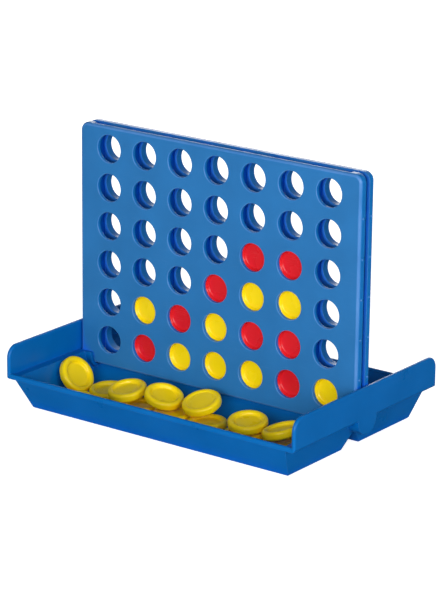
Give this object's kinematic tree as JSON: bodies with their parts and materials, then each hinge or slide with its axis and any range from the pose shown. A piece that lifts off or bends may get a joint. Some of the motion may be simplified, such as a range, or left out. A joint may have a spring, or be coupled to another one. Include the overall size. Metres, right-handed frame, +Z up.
{
  "type": "four in a row frame",
  "caption": "Upright grid of round holes between two moulded halves, standing in a two-trough tray with tall end flanges, with dished discs that drop into its columns",
  "frame": {"origin": "centre of the tray's footprint, on the table", "axes": "X runs along the row of columns, the front of the grid looks to -Y, Z is up"},
  "size_m": [0.2198, 0.152, 0.172],
  "materials": {
    "tray_plastic": "moulded blue, soft gloss",
    "grid_plastic": "moulded blue, soft gloss",
    "red_plastic": "moulded red, soft gloss",
    "yellow_plastic": "moulded yellow, soft gloss"
  },
  "bodies": {
    "tray": {"tray": "tray_plastic"},
    "grid": {"front_panel": "grid_plastic", "back_panel": "grid_plastic"},
    "red_disc_01": {"red_disc_01": "red_plastic"},
    "red_disc_02": {"red_disc_02": "red_plastic"},
    "red_disc_03": {"red_disc_03": "red_plastic"},
    "red_disc_04": {"red_disc_04": "red_plastic"},
    "red_disc_05": {"red_disc_05": "red_plastic"},
    "red_disc_06": {"red_disc_06": "red_plastic"},
    "red_disc_07": {"red_disc_07": "red_plastic"},
    "red_disc_08": {"red_disc_08": "red_plastic"},
    "red_disc_09": {"red_disc_09": "red_plastic"},
    "red_disc_10": {"red_disc_10": "red_plastic"},
    "red_disc_11": {"red_disc_11": "red_plastic"},
    "red_disc_12": {"red_disc_12": "red_plastic"},
    "red_disc_13": {"red_disc_13": "red_plastic"},
    "red_disc_14": {"red_disc_14": "red_plastic"},
    "red_disc_15": {"red_disc_15": "red_plastic"},
    "red_disc_16": {"red_disc_16": "red_plastic"},
    "red_disc_17": {"red_disc_17": "red_plastic"},
    "red_disc_18": {"red_disc_18": "red_plastic"},
    "red_disc_19": {"red_disc_19": "red_plastic"},
    "red_disc_20": {"red_disc_20": "red_plastic"},
    "red_disc_21": {"red_disc_21": "red_plastic"},
    "yellow_disc_01": {"yellow_disc_01": "yellow_plastic"},
    "yellow_disc_02": {"yellow_disc_02": "yellow_plastic"},
    "yellow_disc_03": {"yellow_disc_03": "yellow_plastic"},
    "yellow_disc_04": {"yellow_disc_04": "yellow_plastic"},
    "yellow_disc_05": {"yellow_disc_05": "yellow_plastic"},
    "yellow_disc_06": {"yellow_disc_06": "yellow_plastic"},
    "yellow_disc_07": {"yellow_disc_07": "yellow_plastic"},
    "yellow_disc_08": {"yellow_disc_08": "yellow_plastic"},
    "yellow_disc_09": {"yellow_disc_09": "yellow_plastic"},
    "yellow_disc_10": {"yellow_disc_10": "yellow_plastic"},
    "yellow_disc_11": {"yellow_disc_11": "yellow_plastic"},
    "yellow_disc_12": {"yellow_disc_12": "yellow_plastic"},
    "yellow_disc_13": {"yellow_disc_13": "yellow_plastic"},
    "yellow_disc_14": {"yellow_disc_14": "yellow_plastic"},
    "yellow_disc_15": {"yellow_disc_15": "yellow_plastic"},
    "yellow_disc_16": {"yellow_disc_16": "yellow_plastic"},
    "yellow_disc_17": {"yellow_disc_17": "yellow_plastic"},
    "yellow_disc_18": {"yellow_disc_18": "yellow_plastic"},
    "yellow_disc_19": {"yellow_disc_19": "yellow_plastic"},
    "yellow_disc_20": {"yellow_disc_20": "yellow_plastic"},
    "yellow_disc_21": {"yellow_disc_21": "yellow_plastic"}
  },
  "joints": [
    {"name": "grid_lift", "type": "slide", "parent": "tray", "child": "grid", "axis": [0, 0, 1], "range_m": [0, 0.16]},
    {"name": "red_disc_01_lift", "type": "slide", "parent": "tray", "child": "red_disc_01", "axis": [0, 0, 1], "range_m": [0, 0.155]},
    {"name": "yellow_disc_01_lift", "type": "slide", "parent": "red_disc_01", "child": "yellow_disc_01", "axis": [0, 0, 1], "range_m": [0, 0.13]},
    {"name": "yellow_disc_02_lift", "type": "slide", "parent": "tray", "child": "yellow_disc_02", "axis": [0, 0, 1], "range_m": [0, 0.155]},
    {"name": "red_disc_02_lift", "type": "slide", "parent": "yellow_disc_02", "child": "red_disc_02", "axis": [0, 0, 1], "range_m": [0, 0.13]},
    {"name": "yellow_disc_03_lift", "type": "slide", "parent": "tray", "child": "yellow_disc_03", "axis": [0, 0, 1], "range_m": [0, 0.155]},
    {"name": "yellow_disc_04_lift", "type": "slide", "parent": "yellow_disc_03", "child": "yellow_disc_04", "axis": [0, 0, 1], "range_m": [0, 0.13]},
    {"name": "red_disc_03_lift", "type": "slide", "parent": "yellow_disc_04", "child": "red_disc_03", "axis": [0, 0, 1], "range_m": [0, 0.105]},
    {"name": "yellow_disc_05_lift", "type": "slide", "parent": "tray", "child": "yellow_disc_05", "axis": [0, 0, 1], "range_m": [0, 0.155]},
    {"name": "red_disc_04_lift", "type": "slide", "parent": "yellow_disc_05", "child": "red_disc_04", "axis": [0, 0, 1], "range_m": [0, 0.13]},
    {"name": "yellow_disc_06_lift", "type": "slide", "parent": "red_disc_04", "child": "yellow_disc_06", "axis": [0, 0, 1], "range_m": [0, 0.105]},
    {"name": "red_disc_05_lift", "type": "slide", "parent": "yellow_disc_06", "child": "red_disc_05", "axis": [0, 0, 1], "range_m": [0, 0.08]},
    {"name": "red_disc_06_lift", "type": "slide", "parent": "tray", "child": "red_disc_06", "axis": [0, 0, 1], "range_m": [0, 0.155]},
    {"name": "red_disc_07_lift", "type": "slide", "parent": "red_disc_06", "child": "red_disc_07", "axis": [0, 0, 1], "range_m": [0, 0.13]},
    {"name": "yellow_disc_07_lift", "type": "slide", "parent": "red_disc_07", "child": "yellow_disc_07", "axis": [0, 0, 1], "range_m": [0, 0.105]},
    {"name": "red_disc_08_lift", "type": "slide", "parent": "yellow_disc_07", "child": "red_disc_08", "axis": [0, 0, 1], "range_m": [0, 0.08]},
    {"name": "yellow_disc_08_lift", "type": "slide", "parent": "tray", "child": "yellow_disc_08", "axis": [0, 0, 1], "range_m": [0, 0.155]},
    {"name": "red_disc_09_lift", "type": "slide", "parent": "tray", "child": "red_disc_09", "axis": [0, 0, 1], "range_m": [0, 0.06]},
    {"name": "red_disc_10_lift", "type": "slide", "parent": "tray", "child": "red_disc_10", "axis": [0, 0, 1], "range_m": [0, 0.06]},
    {"name": "red_disc_11_lift", "type": "slide", "parent": "tray", "child": "red_disc_11", "axis": [0, 0, 1], "range_m": [0, 0.06]},
    {"name": "red_disc_12_lift", "type": "slide", "parent": "red_disc_11", "child": "red_disc_12", "axis": [0, 0, 1], "range_m": [0, 0.06]},
    {"name": "red_disc_13_slide", "type": "slide", "parent": "tray", "child": "red_disc_13", "axis": [0, 1, 0], "range_m": [0, 0.012]},
    {"name": "red_disc_14_lift", "type": "slide", "parent": "tray", "child": "red_disc_14", "axis": [0, 0, 1], "range_m": [0, 0.06]},
    {"name": "red_disc_15_slide", "type": "slide", "parent": "tray", "child": "red_disc_15", "axis": [0, 1, 0], "range_m": [0, 0.012]},
    {"name": "red_disc_16_lift", "type": "slide", "parent": "tray", "child": "red_disc_16", "axis": [0, 0, 1], "range_m": [0, 0.06]},
    {"name": "red_disc_17_slide", "type": "slide", "parent": "tray", "child": "red_disc_17", "axis": [0, 1, 0], "range_m": [0, 0.012]},
    {"name": "red_disc_18_lift", "type": "slide", "parent": "tray", "child": "red_disc_18", "axis": [0, 0, 1], "range_m": [0, 0.06]},
    {"name": "red_disc_19_slide", "type": "slide", "parent": "tray", "child": "red_disc_19", "axis": [0, 1, 0], "range_m": [0, 0.012]},
    {"name": "red_disc_20_lift", "type": "slide", "parent": "tray", "child": "red_disc_20", "axis": [0, 0, 1], "range_m": [0, 0.06]},
    {"name": "red_disc_21_slide", "type": "slide", "parent": "tray", "child": "red_disc_21", "axis": [0, 1, 0], "range_m": [0, 0.012]},
    {"name": "yellow_disc_09_lift", "type": "slide", "parent": "tray", "child": "yellow_disc_09", "axis": [0, 0, 1], "range_m": [0, 0.06]},
    {"name": "yellow_disc_10_lift", "type": "slide", "parent": "tray", "child": "yellow_disc_10", "axis": [0, 0, 1], "range_m": [0, 0.06]},
    {"name": "yellow_disc_11_lift", "type": "slide", "parent": "tray", "child": "yellow_disc_11", "axis": [0, 0, 1], "range_m": [0, 0.06]},
    {"name": "yellow_disc_12_lift", "type": "slide", "parent": "yellow_disc_11", "child": "yellow_disc_12", "axis": [0, 0, 1], "range_m": [0, 0.06]},
    {"name": "yellow_disc_13_slide", "type": "slide", "parent": "tray", "child": "yellow_disc_13", "axis": [0, -1, 0], "range_m": [0, 0.012]},
    {"name": "yellow_disc_14_lift", "type": "slide", "parent": "tray", "child": "yellow_disc_14", "axis": [0, 0, 1], "range_m": [0, 0.06]},
    {"name": "yellow_disc_15_slide", "type": "slide", "parent": "tray", "child": "yellow_disc_15", "axis": [0, -1, 0], "range_m": [0, 0.012]},
    {"name": "yellow_disc_16_lift", "type": "slide", "parent": "tray", "child": "yellow_disc_16", "axis": [0, 0, 1], "range_m": [0, 0.06]},
    {"name": "yellow_disc_17_slide", "type": "slide", "parent": "tray", "child": "yellow_disc_17", "axis": [0, -1, 0], "range_m": [0, 0.012]},
    {"name": "yellow_disc_18_lift", "type": "slide", "parent": "tray", "child": "yellow_disc_18", "axis": [0, 0, 1], "range_m": [0, 0.06]},
    {"name": "yellow_disc_19_slide", "type": "slide", "parent": "tray", "child": "yellow_disc_19", "axis": [0, -1, 0], "range_m": [0, 0.012]},
    {"name": "yellow_disc_20_lift", "type": "slide", "parent": "tray", "child": "yellow_disc_20", "axis": [0, 0, 1], "range_m": [0, 0.06]},
    {"name": "yellow_disc_21_slide", "type": "slide", "parent": "tray", "child": "yellow_disc_21", "axis": [0, -1, 0], "range_m": [0, 0.012]}
  ]
}
